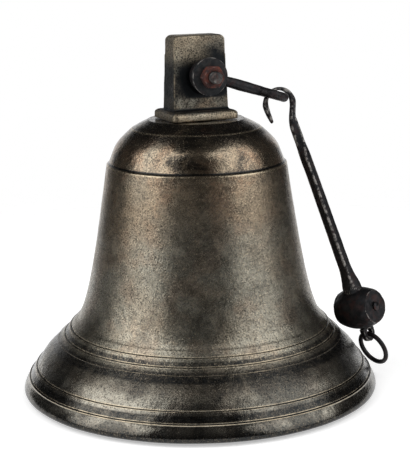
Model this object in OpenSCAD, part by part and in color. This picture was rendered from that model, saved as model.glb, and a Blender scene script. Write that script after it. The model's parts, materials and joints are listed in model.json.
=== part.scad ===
// A cast bronze bell that stands on its lip. A lug on its crown carries an iron arm, and a hammer
// hooked into the arm's eye rests against the flare. +Z is up along the bell's axis, +X is the side
// that the arm reaches to, and the origin is the centre of the lip's lower edge.

/* [Bell] */
// Widest diameter, at the lip
mouth_d = 302; // [280:1:320]
// Distance of the edge that the bell stands on inside the widest place
edge_in = 10.6; // [8:0.2:14]
// Width of the edge that the bell stands on
edge_w = 7; // [5:0.5:10]
// Height of the widest place above the edge
lip_h = 6; // [4:0.2:8]
// Height of the line that ends the lip
lip_line_h = 17; // [14:0.2:18]
// Distance of that line inside the widest place
lip_line_in = 5.4; // [4:0.2:7]
// Height of the line under the sound bow
bow_line_h = 25.2; // [23:0.2:28]
// Distance of that line inside the widest place
bow_line_in = 11.4; // [10:0.2:13]
// Height of the sound bow's upper end
bow_top_h = 47; // [45:0.2:48]
// Distance of the sound bow's upper end inside the widest place
bow_top_in = 30.8; // [29:0.2:33]
// Height of the lowest of the three foot lines of the waist
foot_line_h = 52.2; // [51:0.2:55]
// Distance of the lowest foot line inside the widest place
foot_line_in = 36; // [34:0.2:38]
// Distance from the lowest foot line to the middle one
foot_line_gap = 6.4; // [5:0.2:8]
// Distance from the middle foot line to the upper one
foot_line_gap_2 = 4.6; // [3:0.2:6]
// Distance of the upper foot line inside the widest place
waist_foot_in = 45; // [43:0.2:47]
// Diameter of the waist at the shoulder line
shoulder_d = 151; // [146:0.5:158]
// Height of the crown's flat seat
crown_h = 232.5; // [225:0.5:240]
// Distance of the shoulder line below the crown's seat
shoulder_drop = 35.9; // [33:0.1:39]
// Distance of the ring line around the crown below the seat
crown_line_drop = 7.1; // [5.5:0.1:8.5]
// Diameter of the ring line around the crown
crown_line_d = 107.6; // [104:0.2:112]
// Diameter of the crown's flat seat
crown_seat_d = 80; // [78:1:86]
// Depth of a fine line from the edge that stands out below it
line_step = 1.2; // [0.6:0.1:1.6]
// How far the surface steps out below the shoulder line
ledge_step = 1.8; // [1.2:0.1:2.2]
// How far the lowest ring of the waist's foot stands out above the sound bow
ring_step = 1; // [0.6:0.1:1.4]
// Thickness of the waist's wall
waist_wall = 8.5; // [6:0.5:11]
// Thickness of the wall at the sound bow
bow_wall = 18; // [14:0.5:20]
// Thickness of the crown
crown_wall = 10; // [8:0.5:13]

/* [Crown lug] */
// Width of the lug's foot, along the arm
foot_w = 59; // [54:1:62]
// Depth of the lug's foot
foot_t = 47; // [42:1:50]
// Height of the lug's foot
foot_h = 8; // [6:0.5:10]
// Radius of the foot's corners
foot_corner_r = 5; // [3:0.5:8]
// Height of the lug's top above the crown
lug_h = 69; // [64:1:74]
// Width of the lug at its foot
lug_base_w = 49; // [47:0.5:52]
// Width of the lug at its top
lug_top_w = 45.5; // [43:0.5:47]
// Depth of the lug at its foot
lug_base_t = 24.6; // [22:0.2:25]
// Depth of the lug at its top
lug_top_t = 20; // [18:0.5:21]
// Radius of the lug's upper corners
lug_corner_r = 5; // [3:0.5:8]
// Diameter of the stud under the lug
stud_d = 16; // [12:1:20]
// Diameter of the washer inside the crown
crown_washer_d = 40; // [34:1:46]
// Thickness of the washer inside the crown
crown_washer_t = 3; // [2:0.5:4]
// Width across the flats of the nut inside the crown
crown_nut_af = 24; // [22:1:30]
// Height of the nut inside the crown
crown_nut_h = 13; // [8:1:16]
// Length of stud that shows below the nut
stud_end = 4; // [2:1:8]

/* [Pivot bolt] */
// Distance of the bolt from the lug's middle
bolt_x = 3.2; // [0:0.1:5]
// Height of the bolt above the crown
bolt_h = 36; // [34:0.5:40]
// Diameter of the bolt
bolt_d = 10; // [8:0.5:12]
// Width across the flats of the bolt's head and nut
bolt_af = 17; // [15:0.5:19]
// Height of the bolt's head
bolt_head_h = 6.5; // [5:0.5:8]
// Height of the nut
bolt_nut_h = 8; // [6:0.5:10]
// Length of bolt that stands out of the nut
bolt_end = 6.5; // [4:0.5:8]
// Thickness of the lug between the seats faced for the arm and the back washer
seat_t = 21.2; // [20:0.1:21.4]
// Diameter of the seats faced on the lug
seat_d = 30; // [29.5:0.5:32]
// Diameter of the washer in front of the arm
washer_d = 31; // [29:0.5:34]
// Diameter of the washer behind the lug
back_washer_d = 26; // [22:0.5:28]
// Thickness of both washers
washer_t = 3; // [2:0.5:4]

/* [Arm] */
// Diameter of the arm's rod at its boss
rod_d = 8.6; // [7.6:0.1:9]
// Diameter of the arm's boss around the bolt
boss_d = 27.5; // [24:0.5:29]
// Thickness of the arm's boss
boss_t = 10.4; // [10:0.2:12]
// Distance from the bolt to the bar that the hammer hangs on
arm_reach = 72.4; // [68:0.2:80]
// Slope of the arm below the horizontal, in degrees
arm_drop = 17.4; // [12:0.2:22]
// Diameter of the bar that forms the eye
eye_bar_d = 8; // [7.6:0.1:8.4]
// Inner diameter of the eye
eye_hole_d = 13.4; // [12.6:0.2:16]

/* [Hammer] */
// Height of the head's centre above the bell's edge, where the hammer strikes
strike_h = 62; // [57:0.5:66]
// Sideways lean of the hammer, from its push against the round flare, in degrees
hammer_sway = 6.5; // [4:0.5:8]
// Distance of the shank's axis from the hook's bearing
shank_x = 1.8; // [1:0.1:3]
// Width of the square shank below the hook
shank_top_w = 7.6; // [6.5:0.1:8]
// Width of the square shank above the head
shank_foot_w = 9.4; // [7.4:0.1:10]
// Thickness of the hook across its plane
hook_t = 5; // [4:0.2:6]
// Outer diameter of the hook's bend
hook_d = 29.4; // [28.8:0.2:31]
// Diameter of the hook's opening
hook_hole_d = 20.4; // [19.6:0.2:21]
// How far wear has moved the opening up, out of the middle of the bend
hook_wear = 2; // [1:0.1:2.4]
// Height of the hook's bearing above the tip of its tail
hook_tail_l = 17.6; // [15:0.1:20]
// Height of the flared collar above the head
collar_h = 15; // [6:0.5:16]
// Diameter of the collar where it meets the head
collar_d = 17; // [14:0.5:18]
// Angle that the head and tail are turned from the hook's plane, in degrees
head_turn = 62; // [50:1:70]
// Length of the head between its two striking faces
head_l = 36; // [33:0.5:37]
// Diameter of the head at its middle
head_d = 37.4; // [35:0.2:40]
// Diameter of the striking faces
face_d = 29.5; // [26:0.5:31]
// Diameter of the shank inside the head
tenon_d = 11; // [10:0.5:12]
// Diameter of the rivet through the head
rivet_d = 6; // [5:0.5:7]
// Height of the rivet's heads
rivet_head_h = 0.8; // [0.5:0.1:1.2]
// Width of the flat tail below the head
tail_w = 15; // [12:0.5:16]
// Thickness of the flat tail
tail_t = 4.6; // [4:0.2:5]
// Distance from the head's centre to the hole in the tail
tail_hole_l = 24.2; // [23.6:0.2:28]
// Diameter of the hole in the tail
tail_hole_d = 7.4; // [7:0.2:7.8]

/* [Pull ring] */
// Diameter of the ring's wire
ring_wire_d = 4; // [3:0.1:4.2]
// Outer diameter of the ring
ring_d = 33; // [30:0.5:34]
// Angle that the ring hangs out of line with the tail, in its own plane, in degrees
ring_tilt = 6; // [0:1:10]
// Angle that the ring is turned from the tail's hole, around the tail, in degrees
ring_twist = 14; // [0:1:16]

/* [Fits] */
// Radial clearance of the bolt in the lug, the washers and the arm
bolt_gap = 0.05; // [0.02:0.01:0.1]
// Clearance between the arm and the faces that hold it
side_gap = 0.1; // [0.05:0.05:0.2]
// Radial clearance of fixed pieces on the stud, the tenon and the rivet
fixed_gap = 0.05; // [0.02:0.01:0.1]
// Clearance of the hook on the eye's bar
hook_gap = 0.4; // [0.3:0.05:0.6]
// Clearance of the head from the flare that it rests on
rest_gap = 1.2; // [0.8:0.1:1.5]
// Clearance of the ring's wire in the tail's hole
ring_gap = 0.9; // [0.7:0.05:1]

/* [Hidden] */
$fn = 96;
bronze = [0.42, 0.37, 0.29];
iron = [0.20, 0.20, 0.21];
rust = [0.45, 0.27, 0.20];
steel = [0.45, 0.44, 0.43];

// Points of a cubic curve, without its first point
function curve(p, q, r, s, n = 12) = [for (i = [1:n]) let (t = i / n, u = 1 - t)
    u * u * u * p + 3 * u * u * t * q + 3 * u * t * t * r + t * t * t * s];
// Points of an arc between two angles, without its first point
function arc(c, r, a, b, n) = [for (i = [1:n]) let (t = a + (b - a) * i / n) c + r * [cos(t), sin(t)]];
function reverse(list) = [for (i = [len(list) - 1:-1:0]) list[i]];

// Points of a fine line across the outline, where the outline runs a given way. The edge below the
// line stands out and is flat at its top.
line_l = 0.8;
function along(p, way, l) = p + l * way / norm(way);
function line_at(p, way) = let (out = line_step / 2 * [way.y, -way.x] / norm(way))
    [along(p, way, -1.2 * line_l) + out, along(p, way, -0.5 * line_l) + out,
     p - out, along(p, way, line_l)];

// The bell's outside as [radius, height], from the edge up to the crown's seat
mouth_r = mouth_d / 2;
edge_r = mouth_r - edge_in;
shoulder_h = crown_h - shoulder_drop;
crown_line_h = crown_h - crown_line_drop;
line_drop = 0.9;
lip_line = [mouth_r - lip_line_in, lip_line_h];
bow_line = [mouth_r - bow_line_in, bow_line_h];
bead_way = bow_line - lip_line;
lip_end = along(lip_line, bead_way, -2 * line_l);
bow_start = along(bow_line, bead_way, 2 * line_l);
bow_end = [mouth_r - bow_top_in, bow_top_h];
ring_edge = bow_end + [ring_step, line_drop / 2];
foot_line = [mouth_r - foot_line_in, foot_line_h];
waist_foot = [mouth_r - waist_foot_in, foot_line_h + foot_line_gap + foot_line_gap_2];
foot_way = waist_foot - foot_line;
mid_line = foot_line + foot_way * foot_line_gap / (foot_line_gap + foot_line_gap_2);
shoulder = [shoulder_d / 2, shoulder_h - line_drop];
dome_start = [shoulder_d / 2 - ledge_step, shoulder_h + line_drop / 2];
crown_line = [crown_line_d / 2, crown_line_h];
crown_edge = crown_line + [-line_step, line_drop / 2];
seat_edge = [crown_seat_d / 2, crown_h];
waist_end = waist_foot + [-line_step / 2, line_drop / 2];
waist_h = shoulder.y - waist_end.y;

outside = concat(
    [[edge_r, 0]],
    curve([edge_r, 0], [edge_r + 4, 1.2], [mouth_r, lip_h * 0.35], [mouth_r, lip_h], 8),
    curve([mouth_r, lip_h], [mouth_r, lip_h + 3], lip_end + [1.4, -3], lip_end, 6),
    line_at(lip_line, bead_way),
    line_at(bow_line, bead_way),
    [bow_start],
    curve(bow_start, bow_start + [-6.8, 11], bow_end + [10.6, -8.8], bow_end, 10),
    [ring_edge],
    line_at(foot_line, foot_way),
    line_at(mid_line, foot_way),
    [waist_foot, waist_end],
    curve(waist_end, waist_end + waist_h * [-0.092, 0.075],
          shoulder + waist_h * [0.049, -0.326], shoulder, 18),
    [dome_start],
    curve(dome_start, dome_start + [-6.2, 14.4], crown_line + [16.8, -14.4], crown_line, 14),
    [crown_edge],
    curve(crown_edge, crown_edge + [-3.7, 2.8], seat_edge + [4, -2.2], seat_edge, 6));

// The bell's inside, from the edge up to the hole for the stud
stud_hole_r = stud_d / 2 + fixed_gap;
inner_edge = [edge_r - edge_w, 0];
inner_bow = [lip_line.x - bow_wall, lip_line_h];
inner_foot = [waist_foot.x - waist_wall, waist_foot.y + 2];
inner_shoulder = [shoulder.x - waist_wall, shoulder_h - 6];
inner_crown = [crown_line.x - crown_wall, crown_h - crown_wall];
inside = concat(
    [inner_edge],
    curve(inner_edge, inner_edge + [-1.5, 7], inner_bow + [2.4, -6], inner_bow, 6),
    curve(inner_bow, inner_bow + [-6.4, 16], inner_foot + [9.6, -16], inner_foot, 8),
    curve(inner_foot, inner_foot + waist_h * [-0.093, 0.13],
          inner_shoulder + waist_h * [0.08, -0.5], inner_shoulder, 14),
    curve(inner_shoulder, inner_shoulder + [-2.6, 14], inner_crown + [12, 0], inner_crown, 10),
    [[stud_hole_r, inner_crown.y], [stud_hole_r, crown_h]]);

// Places of the lug and the bolt
bolt_z = crown_h + bolt_h;
seat_y = seat_t / 2;
stud_low = crown_h - crown_wall - crown_washer_t - crown_nut_h - stud_end;
arm_y = -(seat_y + side_gap + boss_t / 2);
front_washer_y = arm_y - boss_t / 2 - side_gap;
nut_y = front_washer_y - washer_t;
bolt_tip_y = nut_y - bolt_nut_h - bolt_end;
head_y = seat_y + washer_t;

// Places of the arm's eye and the hammer's bearing
eye_bar_r = eye_bar_d / 2;
eye_r = eye_hole_d / 2 + eye_bar_r;
bearing = [bolt_x + arm_reach * cos(arm_drop), arm_y, bolt_z - arm_reach * sin(arm_drop)];

// Length of the hammer from its bearing to the head's centre, when it leans out by an angle
function hammer_length(a) = (bearing.z - strike_h + shank_x * sin(a)) / (cos(a) * cos(hammer_sway));
face_dir = [cos(head_turn), -sin(head_turn), 0];

// Outline of the hook in its plane, from the tail's tip over the bend to the foot and back along the
// opening. The eye's bar bears on the opening's upper outer side, and the wear is straight up.
bear_dir = [cos(32), sin(32)];
opening_r = hook_hole_d / 2;
bend_r = hook_d / 2;
opening = -(opening_r - eye_bar_r - hook_gap) * bear_dir;
bend = opening + [0.5, -hook_wear];
tail_tip = [bend.x - bend_r + 3.3, -hook_tail_l];
foot_out = [shank_x + shank_top_w / 2, -28];
foot_in = [shank_x - shank_top_w / 2, -28];
limb_out = foot_out + [0, 9];
tail_out = bend + bend_r * [cos(165), sin(165)];
bend_out = bend + bend_r * [cos(-5), sin(-5)];
bend_in = opening + opening_r * [cos(-12), sin(-12)];
hook_outline = concat(
    curve(tail_tip, tail_tip + [-1.8, 3.1], tail_out + [-0.3, -5.3], tail_out, 6),
    arc(bend, bend_r, 165, -5, 24),
    curve(bend_out, bend_out + [-0.3, -3.2], limb_out + [0.8, 5], limb_out, 6),
    [foot_out, foot_in],
    curve(foot_in, foot_in + [0.8, 8], bend_in + [-0.3, -5.8], bend_in, 8),
    arc(opening, opening_r, -12, 180, 24),
    curve(opening - [opening_r, 0], opening - [opening_r + 0.4, 5], tail_tip + [0.2, 4.6], tail_tip, 6));

// The hammer leans out until its head is the rest gap away from the flare. The gap is measured from
// rings of points on the head to the bell's outside, and the angle is found by halving.
outside_at = [for (p = outside) [p.y + 0.0001 * p.x, p.x]];
flare_slope = 0.8;
function head_radius(s) = let (k = s / (head_l / 2)) head_d / 2 - (head_d - face_d) / 2 * k * k;
function lean(p, a) = let (y = p.y * cos(hammer_sway) + p.z * sin(hammer_sway),
                           z = p.z * cos(hammer_sway) - p.y * sin(hammer_sway))
    [p.x * cos(a) - z * sin(a), y, p.x * sin(a) + z * cos(a)] + bearing;
function head_points(a) = [for (k = [-2:2], t = [0:10:350]) let (s = k * head_l / 4)
    [shank_x, 0, -hammer_length(a)] + s * face_dir
    + head_radius(s) * (cos(t) * [-face_dir.y, face_dir.x, 0] + sin(t) * [0, 0, 1])];
function flare_gap(q) = norm([q.x, q.y]) - lookup(q.z, outside_at);
function gap_at(a) = min([for (p = head_points(a)) flare_gap(lean(p, a))]);
function rest_angle(low, high, n = 16) = n == 0 ? (low + high) / 2 : let (mid = (low + high) / 2)
    gap_at(mid) < rest_gap / flare_slope ? rest_angle(mid, high, n - 1) : rest_angle(low, mid, n - 1);
hammer_lean = rest_angle(5, 45);

// Places on the hammer, from its bearing, as it hangs upright
head_z = -hammer_length(hammer_lean);
tail_hole_z = head_z - tail_hole_l;
ring_r = (ring_d - ring_wire_d) / 2;
ring_top_z = tail_hole_z - (tail_hole_d / 2 - ring_wire_d / 2 - ring_gap);

// The ring swings out on the tail's hole until its wire is the rest gap away from the flare
ring_turn = head_turn + ring_twist;
function ring_point(x, z, swing) =
    let (u = x * cos(ring_tilt) + z * sin(ring_tilt), w = z * cos(ring_tilt) - x * sin(ring_tilt))
    lean([shank_x, 0, ring_top_z] + [u * cos(ring_turn) - w * sin(swing) * sin(ring_turn),
         -u * sin(ring_turn) - w * sin(swing) * cos(ring_turn), w * cos(swing)], hammer_lean);
function ring_gap_at(swing) =
    min([for (t = [0:10:350]) flare_gap(ring_point(ring_r * cos(t), ring_r * (sin(t) - 1), swing))]);
function ring_angle(low, high, n = 14) = n == 0 ? (low + high) / 2 : let (mid = (low + high) / 2)
    ring_gap_at(mid) < (rest_gap + ring_wire_d / 2) / flare_slope ? ring_angle(mid, high, n - 1)
                                                                  : ring_angle(low, mid, n - 1);
ring_swing = ring_angle(0, 60);

// Moves a piece drawn upright under its bearing to where the hammer rests
module hung() {
    translate(bearing) rotate([-hammer_sway, -hammer_lean, 0]) children();
}

// Turns a piece drawn along Z so that it lies along the head's axis
module along_head() {
    rotate([0, 90, -head_turn]) children();
}

// A hexagonal prism along Z, of a given width across its flats
module hexagon(af, h) {
    cylinder(d = af / cos(30), h = h, $fn = 6);
}

// A flat washer along Z
module washer(d, hole_d, h) {
    difference() {
        cylinder(d = d, h = h);
        translate([0, 0, -1]) cylinder(d = hole_d, h = h + 2);
    }
}

// Puts a piece drawn along Z on the bolt's axis, from a given depth towards the front
module on_bolt(y) {
    translate([bolt_x, y, bolt_z]) rotate([90, 0, 0]) children();
}

// A rectangle on the Y axis with its upper corners rounded, from a base to a top width
module rounded_outline(base_w, top_w, h, r, n = 8) {
    polygon(concat(
        [[-base_w / 2, 0], [base_w / 2, 0]],
        [for (i = [0:n]) let (a = 90 * i / n) [top_w / 2 - r, h - r] + r * [cos(a), sin(a)]],
        [for (i = [0:n]) let (a = 90 + 90 * i / n) [-top_w / 2 + r, h - r] + r * [cos(a), sin(a)]]));
}

// A square bar along -Z that tapers from one width to another
module tapered_bar(top_w, low_w, l) {
    side = [[-top_w / 2, 0], [top_w / 2, 0], [low_w / 2, -l], [-low_w / 2, -l]];
    intersection() {
        translate([0, low_w, 0]) rotate([90, 0, 0]) linear_extrude(2 * low_w) polygon(side);
        translate([-low_w, 0, 0]) rotate([90, 0, 90]) linear_extrude(2 * low_w) polygon(side);
    }
}

module bell_body() {
    color(bronze) rotate_extrude($fn = 180)
        polygon(concat(outside, [[stud_hole_r, crown_h]], reverse(inside)));
}

module crown_lug() {
    color(bronze) difference() {
        union() {
            translate([0, 0, crown_h]) lug_foot();
            translate([0, 0, crown_h + foot_h - 1]) lug_block();
            translate([0, 0, stud_low]) cylinder(d = stud_d, h = crown_h - stud_low + 1);
        }
        on_bolt(lug_base_t) cylinder(d = bolt_d + 2 * bolt_gap, h = 2 * lug_base_t);
        on_bolt(-seat_y) cylinder(d = seat_d, h = lug_base_t);
        on_bolt(seat_y + lug_base_t) cylinder(d = seat_d, h = lug_base_t);
    }
}

module lug_foot() {
    intersection() {
        linear_extrude(foot_h) foot_plan();
        translate([0, foot_t, 0]) rotate([90, 0, 0]) linear_extrude(2 * foot_t) foot_side(foot_w);
        translate([-foot_w, 0, 0]) rotate([90, 0, 90]) linear_extrude(2 * foot_w) foot_side(foot_t);
    }
}

module foot_plan() {
    for (x = [-1, 1], y = [-1, 1])
        translate([x * (foot_w / 2 - foot_corner_r), y * (foot_t / 2 - foot_corner_r)])
            circle(foot_corner_r);
    square([foot_w - 2 * foot_corner_r, foot_t], center = true);
    square([foot_w, foot_t - 2 * foot_corner_r], center = true);
}

module foot_side(w) {
    rounded_outline(w, w, foot_h, foot_h * 0.7);
}

module lug_block() {
    h = lug_h - foot_h + 1;
    intersection() {
        translate([0, lug_base_t, 0]) rotate([90, 0, 0]) linear_extrude(2 * lug_base_t)
            rounded_outline(lug_base_w, lug_top_w, h, lug_corner_r);
        translate([-lug_base_w, 0, 0]) rotate([90, 0, 90]) linear_extrude(2 * lug_base_w)
            rounded_outline(lug_base_t, lug_top_t, h, lug_corner_r / 2);
    }
}

module crown_washer() {
    color(iron) translate([0, 0, crown_h - crown_wall - crown_washer_t])
        washer(crown_washer_d, stud_d + 2 * fixed_gap, crown_washer_t);
}

module crown_nut() {
    color(rust) translate([0, 0, crown_h - crown_wall - crown_washer_t - crown_nut_h]) difference() {
        hexagon(crown_nut_af, crown_nut_h);
        translate([0, 0, -1]) cylinder(d = stud_d + 2 * fixed_gap, h = crown_nut_h + 2);
    }
}

module pivot_bolt() {
    color(steel) union() {
        on_bolt(head_y + bolt_head_h) hexagon(bolt_af, bolt_head_h);
        on_bolt(head_y + 1) cylinder(d = bolt_d, h = head_y + 1 - bolt_tip_y);
    }
}

module back_washer() {
    color(iron) on_bolt(head_y) washer(back_washer_d, bolt_d + 2 * bolt_gap, washer_t);
}

module front_washer() {
    color(iron) on_bolt(front_washer_y) washer(washer_d, bolt_d + 2 * bolt_gap, washer_t);
}

module bolt_nut() {
    color(rust) on_bolt(nut_y) difference() {
        hexagon(bolt_af, bolt_nut_h);
        translate([0, 0, -1]) cylinder(d = bolt_d + 2 * bolt_gap, h = bolt_nut_h + 2);
    }
}

// The arm is drawn along X from the bolt and then turned down to its slope
module striker_arm() {
    color(iron) translate([bolt_x, arm_y, bolt_z]) rotate([0, arm_drop, 0]) difference() {
        union() {
            rotate([90, 0, 0]) arm_boss();
            translate([boss_d / 2 - 2, 0, 0]) rotate([0, 90, 0])
                cylinder(d1 = rod_d, d2 = eye_bar_d - 0.2, h = arm_reach - 2 * eye_r - boss_d / 2 + 2);
            translate([arm_reach - eye_r, 0, 0]) rotate_extrude()
                translate([eye_r, 0]) circle(eye_bar_r, $fn = 48);
        }
        rotate([90, 0, 0]) cylinder(d = bolt_d + 2 * bolt_gap, h = 2 * boss_t, center = true);
    }
}

// The boss, with its rim rounded over
module arm_boss() {
    rim_r = 2;
    rotate_extrude() {
        translate([0, -boss_t / 2]) square([boss_d / 2 - rim_r, boss_t]);
        translate([0, -boss_t / 2 + rim_r]) square([boss_d / 2, boss_t - 2 * rim_r]);
        for (z = [-1, 1]) translate([boss_d / 2 - rim_r, z * (boss_t / 2 - rim_r)]) circle(rim_r, $fn = 32);
    }
}

module hammer_shank() {
    shank_top = foot_out.y + 2;
    head_r = head_d / 2;
    tenon_low = head_z - head_r;
    tail_top = head_z - sqrt(pow(head_r, 2) - pow(tenon_d / 2 + fixed_gap, 2)) - fixed_gap;
    color(iron) hung() difference() {
        union() {
            translate([0, hook_t / 2, 0]) rotate([90, 0, 0]) linear_extrude(hook_t)
                polygon(hook_outline);
            translate([shank_x, 0, shank_top]) rotate([0, 0, -head_turn])
                tapered_bar(shank_top_w, shank_foot_w, shank_top - head_z - head_r - collar_h / 4);
            translate([shank_x, 0, head_z + head_r])
                cylinder(d1 = collar_d, d2 = shank_foot_w - 1, h = collar_h);
            translate([shank_x, 0, tenon_low]) cylinder(d = tenon_d, h = 2 * head_r + 1);
            translate([shank_x, 0, tail_hole_z]) rotate([0, 0, -head_turn])
                shank_tail(tail_top - tail_hole_z);
        }
        translate([shank_x, 0, head_z]) along_head()
            cylinder(d = rivet_d + 2 * fixed_gap, h = head_l, center = true);
        translate([shank_x, 0, tail_hole_z]) along_head()
            cylinder(d = tail_hole_d, h = 2 * tail_t, center = true);
    }
}

// The flat tail around its hole, with its width along Y
module shank_tail(h) {
    rotate([0, 90, 0]) cylinder(d = tail_w, h = tail_t, center = true);
    translate([-tail_t / 2, -tail_w / 2, 0]) cube([tail_t, tail_w, h]);
}

module hammer_head() {
    steps = 12;
    color(iron) hung() translate([shank_x, 0, head_z]) difference() {
        along_head() rotate_extrude() polygon(concat([[0, -head_l / 2]],
            [for (i = [0:steps]) let (s = head_l * (i / steps - 0.5)) [head_radius(s), s]],
            [[0, head_l / 2]]));
        cylinder(d = tenon_d + 2 * fixed_gap, h = 2 * head_d, center = true);
        along_head() cylinder(d = rivet_d + 2 * fixed_gap, h = 2 * head_l, center = true);
        translate([0, 0, head_d / 2]) cylinder(d = collar_d + 1, h = collar_h);
    }
}

module head_rivet() {
    color(steel) hung() translate([shank_x, 0, head_z]) along_head() union() {
        cylinder(d = rivet_d, h = head_l, center = true);
        for (z = [-1, 1]) translate([0, 0, z * (head_l + rivet_head_h) / 2])
            cylinder(d = rivet_d + 1.4, h = rivet_head_h, center = true);
    }
}

module pull_ring() {
    color(iron) hung() translate([shank_x, 0, ring_top_z]) rotate([ring_swing, 0, -ring_turn])
        rotate([0, ring_tilt, 0]) translate([0, 0, -ring_r]) rotate([90, 0, 0])
            rotate_extrude() translate([ring_r, 0]) circle(d = ring_wire_d, $fn = 32);
}

bell_body();
crown_lug();
crown_washer();
crown_nut();
pivot_bolt();
back_washer();
front_washer();
bolt_nut();
striker_arm();
hammer_shank();
hammer_head();
head_rivet();
pull_ring();
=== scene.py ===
import json
import math
from functools import partial, reduce

import bmesh
import bpy
from bpy.props import FloatProperty, FloatVectorProperty, PointerProperty
from mathutils import Matrix, Vector, noise


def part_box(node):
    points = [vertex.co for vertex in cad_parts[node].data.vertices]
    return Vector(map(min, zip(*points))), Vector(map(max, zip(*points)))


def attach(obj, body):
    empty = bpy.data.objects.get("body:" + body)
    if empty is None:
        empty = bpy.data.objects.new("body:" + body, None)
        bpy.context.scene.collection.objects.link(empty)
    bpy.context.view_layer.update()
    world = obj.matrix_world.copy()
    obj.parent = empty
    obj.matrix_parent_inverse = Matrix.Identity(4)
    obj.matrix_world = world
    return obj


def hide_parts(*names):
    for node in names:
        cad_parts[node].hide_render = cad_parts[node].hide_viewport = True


bl_info = {
    "name": "Hammer Bell",
    "version": (1, 0, 0),
    "blender": (4, 5, 0),
    "location": "3D View > Sidebar > Bell",
    "description": "Dresses the packed hammer bell: casting, lug, bolt, arm, hammer and ring",
    "category": "Object",
}

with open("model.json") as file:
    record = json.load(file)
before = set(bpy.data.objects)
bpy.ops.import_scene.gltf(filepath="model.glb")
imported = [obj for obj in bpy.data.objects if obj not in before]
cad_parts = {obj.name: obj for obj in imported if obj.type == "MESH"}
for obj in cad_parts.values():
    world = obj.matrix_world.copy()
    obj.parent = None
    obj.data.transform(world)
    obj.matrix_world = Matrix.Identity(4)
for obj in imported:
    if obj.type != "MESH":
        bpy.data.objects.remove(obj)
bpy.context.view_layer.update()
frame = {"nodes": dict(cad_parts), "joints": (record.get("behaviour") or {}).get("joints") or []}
JOINTS = {j["name"]: j for j in frame["joints"]}
PIVOT = Vector(JOINTS["arm_pivot"]["pos_m"])
BEARING = Vector(JOINTS["hammer_swing"]["pos_m"])
RING_TOP = Vector(JOINTS["ring_swing"]["pos_m"])
UP = Vector((0, 0, 1))


def length(name, description, millimetres):
    """A length property whose default is given in millimetres."""
    return FloatProperty(name=name, description=description, default=millimetres / 1000, unit="LENGTH",
                         precision=4)


def angle(name, description, degrees):
    """An angle property whose default is given in degrees."""
    return FloatProperty(name=name, description=description, default=math.radians(degrees), unit="ROTATION")


def number(name, description, value, unit="NONE"):
    """A plain number property."""
    return FloatProperty(name=name, description=description, default=value, unit=unit)


def colour(name, description, red, green, blue):
    """A colour property."""
    return FloatVectorProperty(name=name, description=description, default=(red, green, blue), size=3,
                               subtype="COLOR", min=0, max=1)


class BellSizes(bpy.types.PropertyGroup):
    """Sizes of the bell's casting."""
    edge_in: length("Edge inset", "Standing edge inside the widest place", 10.6)
    edge_w: length("Edge width", "Width of the standing edge", 7)
    lip_h: length("Lip height", "Height of the widest place", 6)
    lip_line_h: length("Lip line height", "Height of the line that ends the lip", 17)
    lip_line_in: length("Lip line inset", "That line inside the widest place", 5.4)
    bow_line_h: length("Bow line height", "Height of the line under the sound bow", 25.2)
    bow_line_in: length("Bow line inset", "That line inside the widest place", 11.4)
    bow_top_h: length("Bow top height", "Height of the sound bow's top", 47)
    bow_top_in: length("Bow top inset", "The bow's top inside the widest place", 30.8)
    foot_line_h: length("Foot line height", "Height of the waist's lowest line", 52.2)
    foot_line_in: length("Foot line inset", "The lowest line inside the widest place", 36)
    foot_gap: length("Foot line gap", "From the lowest foot line to the middle one", 6.4)
    foot_gap_2: length("Upper foot line gap", "From the middle foot line to the upper one", 4.6)
    waist_foot_in: length("Waist foot inset", "The upper foot line inside the widest place", 45)
    shoulder_r: length("Shoulder radius", "Radius of the waist at the shoulder line", 75.5)
    shoulder_drop: length("Shoulder drop", "The shoulder line below the crown's seat", 35.9)
    crown_line_drop: length("Crown line drop", "The crown's ring line below the seat", 7.1)
    crown_line_r: length("Crown line radius", "Radius of the crown's ring line", 53.8)
    crown_seat_r: length("Crown seat radius", "Radius of the crown's flat seat", 40)
    line_step: length("Line step", "Depth of a fine line", 1.2)
    line_l: length("Line length", "Length of a fine line", 0.8)
    ledge_step: length("Ledge step", "Step below the shoulder line", 1.8)
    ring_step: length("Ring step", "Step from the sound bow to the waist's foot", 1)
    line_drop: length("Line drop", "Height of a ledge's step", 0.9)
    waist_wall: length("Waist wall", "Thickness of the waist's wall", 8.5)
    bow_wall: length("Bow wall", "Thickness of the wall at the sound bow", 18)
    crown_wall: length("Crown wall", "Thickness of the crown", 10)
    arris: length("Arris", "Radius of the casting's worn arrises", 0.45)
    wave: length("Wave", "Depth of the casting's slow unevenness", 0.35)
    grain: length("Grain", "Depth of the sand's grain", 0.07)


class BoltSizes(bpy.types.PropertyGroup):
    """Sizes of the bolt, its nut and its washers."""
    across_flats: length("Across flats", "Width of the head and the nut across their flats", 17)
    shank_d: length("Shank", "Diameter of the bolt", 10)
    head_h: length("Head height", "Height of the bolt's head", 6.5)
    crown_flats: length("Crown nut flats", "Width of the crown nut across its flats", 24)
    stud_d: length("Stud", "Diameter of the lug's stud", 16)
    pitch: length("Pitch", "Distance between two turns of the thread", 1.5)
    thread_l: length("Thread", "Length of the thread at the bolt's end", 15)
    thread_depth: length("Thread depth", "Depth of the thread", 0.75)
    chamfer: length("Chamfer", "Height of the chamfer at a hexagon's corners", 1.5)
    edge: length("Washer edge", "Radius of a washer's worn edges", 0.5)
    gap: length("Gap", "Radial clearance of the bolt in its holes", 0.05)


class ArmSizes(bpy.types.PropertyGroup):
    """Sizes of the arm."""
    rod_d: length("Rod", "Diameter of the rod at the boss", 8.6)
    boss_d: length("Boss", "Diameter of the boss around the bolt", 27.5)
    boss_t: length("Boss thickness", "Thickness of the boss", 10.4)
    boss_rim: length("Boss rim", "Radius of the boss's rounded rim", 2)
    eye_bar_d: length("Eye bar", "Diameter of the bar that forms the eye", 8)
    eye_hole_d: length("Eye hole", "Inner diameter of the eye", 13.4)


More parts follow.
